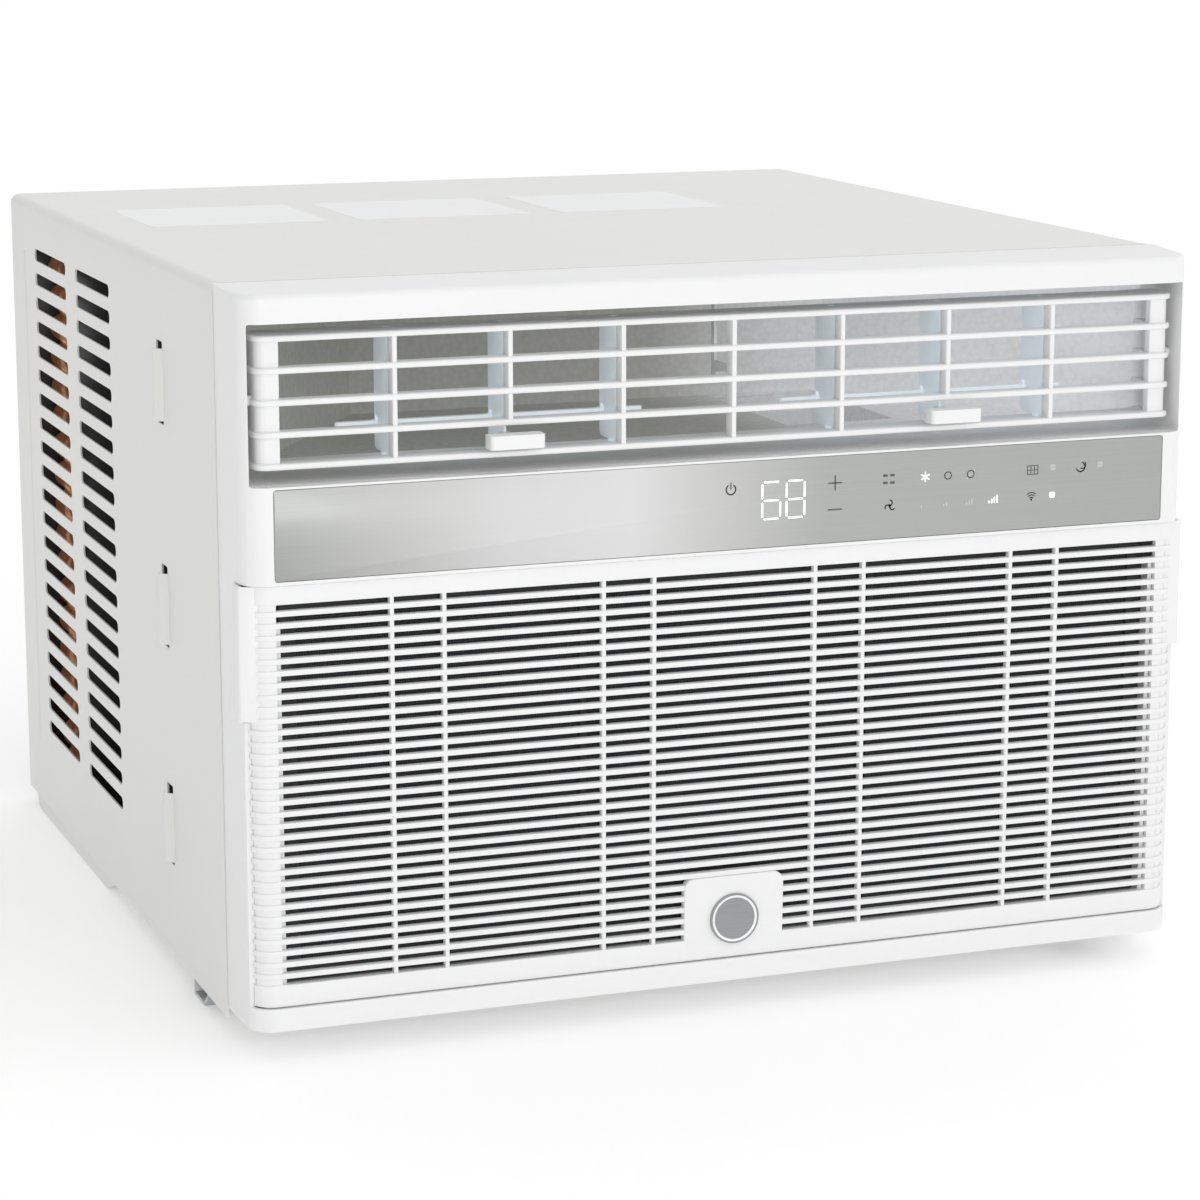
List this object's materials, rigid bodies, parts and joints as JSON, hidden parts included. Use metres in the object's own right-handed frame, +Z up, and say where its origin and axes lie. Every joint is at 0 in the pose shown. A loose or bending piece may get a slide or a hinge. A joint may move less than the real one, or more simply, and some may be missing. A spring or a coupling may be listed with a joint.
{
  "type": "window air conditioner",
  "caption": "Window-mounted room air conditioner: off-white sheet-steel cabinet with side vents, white front with swivelling air louver, mirror control strip and fold-down intake grille",
  "frame": {"origin": "centre of the bounding box in plan, on the plane that the sill rail and the base pan stand on", "axes": "+X to the right seen from the room, +Y from the room-side face through to the outdoor coil, +Z up"},
  "size_m": [0.61, 0.6396, 0.446],
  "materials": {
    "painted_steel": "satin off-white enamel over sheet steel",
    "galvanised": "zinc-coated sheet steel",
    "white_plastic": "fine satin white",
    "vane_plastic": "slightly bluish white",
    "mirror_panel": "silvered, semi-mirror control strip",
    "badge_metal": "brushed plain disc",
    "filter_plastic": "matte dark",
    "duct_foam": "matte expanded foam and dark moulding",
    "aluminium_fins": "thin bare fins",
    "copper": "bare copper tube",
    "black_enamel": "semi-gloss black enamel",
    "rubber": "matte black",
    "circuit_board": "green laminate"
  },
  "bodies": {
    "chassis": {"cabinet_wrap": "painted_steel", "base_pan": "painted_steel", "drain_plug": "rubber", "cord_gland": "rubber", "compressor_grommet_1": "rubber", "compressor_grommet_2": "rubber", "compressor_grommet_3": "rubber", "sill_rail": "galvanised", "rear_guard": "galvanised", "guard_screw_1": "galvanised", "guard_screw_2": "galvanised", "guard_screw_3": "galvanised", "guard_screw_4": "galvanised", "bulkhead": "galvanised", "motor_bracket": "galvanised", "compressor_bracket": "galvanised", "control_box": "galvanised", "control_box_cover": "galvanised", "front_bezel": "white_plastic", "louver_center_support": "white_plastic", "control_fascia": "mirror_panel", "display_board": "circuit_board", "main_board": "circuit_board", "scroll_housing": "duct_foam", "discharge_duct": "duct_foam", "evaporator_tray": "duct_foam", "condenser_shroud": "filter_plastic", "fan_motor": "black_enamel", "compressor": "black_enamel", "compressor_terminal_cover": "black_enamel", "accumulator": "black_enamel", "evaporator_fins": "aluminium_fins", "condenser_fins": "aluminium_fins", "run_capacitor": "aluminium_fins", "evaporator_tubes": "copper", "condenser_tubes": "copper", "discharge_pipe": "copper", "suction_pipe": "copper", "liquid_line": "copper", "capillary_tube": "copper", "filter_drier": "copper"},
    "louver": {"louver_grid": "white_plastic"},
    "vane_left_1": {"vane_left_1": "vane_plastic"},
    "vane_left_2": {"vane_left_2": "vane_plastic", "deflector_tab_left": "white_plastic"},
    "vane_left_3": {"vane_left_3": "vane_plastic"},
    "link_rod_left": {"link_rod_left": "vane_plastic"},
    "vane_right_1": {"vane_right_1": "vane_plastic"},
    "vane_right_2": {"vane_right_2": "vane_plastic", "deflector_tab_right": "white_plastic"},
    "vane_right_3": {"vane_right_3": "vane_plastic"},
    "link_rod_right": {"link_rod_right": "vane_plastic"},
    "intake_door": {"intake_grille": "white_plastic", "badge_disc": "badge_metal"},
    "filter": {"filter_frame": "filter_plastic", "filter_mesh": "filter_plastic"},
    "fan_rotor": {"motor_shaft": "galvanised", "blower_wheel": "filter_plastic", "condenser_fan": "filter_plastic"}
  },
  "joints": [
    {"name": "louver_tilt", "type": "hinge", "parent": "chassis", "child": "louver", "pos_m": [0, -0.29275, 0.3833], "axis": [1, 0, 0], "range_deg": [-20, 20]},
    {"name": "vane_left_1_turn", "type": "hinge", "parent": "louver", "child": "vane_left_1", "pos_m": [-0.207, -0.28875, 0.3833], "axis": [0, 0, 1], "range_deg": [-30, 30]},
    {"name": "vane_left_2_turn", "type": "hinge", "parent": "louver", "child": "vane_left_2", "pos_m": [-0.138, -0.28875, 0.3833], "axis": [0, 0, 1], "range_deg": [-30, 30]},
    {"name": "vane_left_3_turn", "type": "hinge", "parent": "louver", "child": "vane_left_3", "pos_m": [-0.069, -0.28875, 0.3833], "axis": [0, 0, 1], "range_deg": [-30, 30]},
    {"name": "link_rod_left_swing", "type": "hinge", "parent": "vane_left_2", "child": "link_rod_left", "pos_m": [-0.138, -0.26875, 0.363], "axis": [0, 0, 1], "range_deg": [-30, 30]},
    {"name": "vane_right_1_turn", "type": "hinge", "parent": "louver", "child": "vane_right_1", "pos_m": [0.069, -0.28875, 0.3833], "axis": [0, 0, 1], "range_deg": [-30, 30]},
    {"name": "vane_right_2_turn", "type": "hinge", "parent": "louver", "child": "vane_right_2", "pos_m": [0.138, -0.28875, 0.3833], "axis": [0, 0, 1], "range_deg": [-30, 30]},
    {"name": "vane_right_3_turn", "type": "hinge", "parent": "louver", "child": "vane_right_3", "pos_m": [0.207, -0.28875, 0.3833], "axis": [0, 0, 1], "range_deg": [-30, 30]},
    {"name": "link_rod_right_swing", "type": "hinge", "parent": "vane_right_2", "child": "link_rod_right", "pos_m": [0.138, -0.26875, 0.363], "axis": [0, 0, 1], "range_deg": [-30, 30]},
    {"name": "intake_door_hinge", "type": "hinge", "parent": "chassis", "child": "intake_door", "pos_m": [0, -0.30695, 0.0367], "axis": [1, 0, 0], "range_deg": [0, 60]},
    {"name": "filter_slide", "type": "slide", "parent": "intake_door", "child": "filter", "axis": [0, 0, 1], "range_m": [0, 0.055]},
    {"name": "fan_spin", "type": "hinge", "parent": "chassis", "child": "fan_rotor", "pos_m": [0, -0.05775, 0.2065], "axis": [0, 1, 0], "continuous": true}
  ],
  "couplings": [
    {"joint": "vane_left_1_turn", "follows": "vane_left_2_turn", "ratio": 1},
    {"joint": "vane_left_3_turn", "follows": "vane_left_2_turn", "ratio": 1},
    {"joint": "link_rod_left_swing", "follows": "vane_left_2_turn", "ratio": -1},
    {"joint": "vane_right_1_turn", "follows": "vane_right_2_turn", "ratio": 1},
    {"joint": "vane_right_3_turn", "follows": "vane_right_2_turn", "ratio": 1},
    {"joint": "link_rod_right_swing", "follows": "vane_right_2_turn", "ratio": -1}
  ]
}
